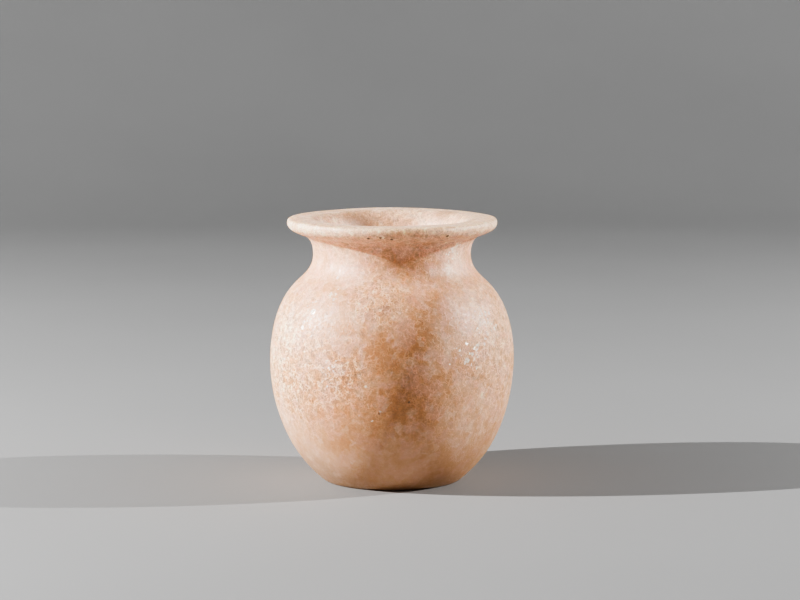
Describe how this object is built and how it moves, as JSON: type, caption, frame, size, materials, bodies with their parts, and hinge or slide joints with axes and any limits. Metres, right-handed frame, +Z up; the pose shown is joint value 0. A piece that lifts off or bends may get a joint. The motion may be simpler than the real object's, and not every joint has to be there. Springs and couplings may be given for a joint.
{
  "type": "alabaster vase",
  "caption": "Globular carved alabaster vase with a small flat foot, a short concave neck and a broad everted rim, hollowed out through its mouth.",
  "frame": {"origin": "centre of the flat underside of the foot, on the surface that the vase stands on", "axes": "+Z up along the axis that the vase is turned about; the vase is the same all round, so +X and +Y are free"},
  "size_m": [0.186, 0.186, 0.2],
  "materials": {
    "alabaster": "satin, translucent, coarse crystalline grain in peach and off-white"
  },
  "bodies": {
    "root": {"vase": "alabaster"}
  },
  "joints": []
}
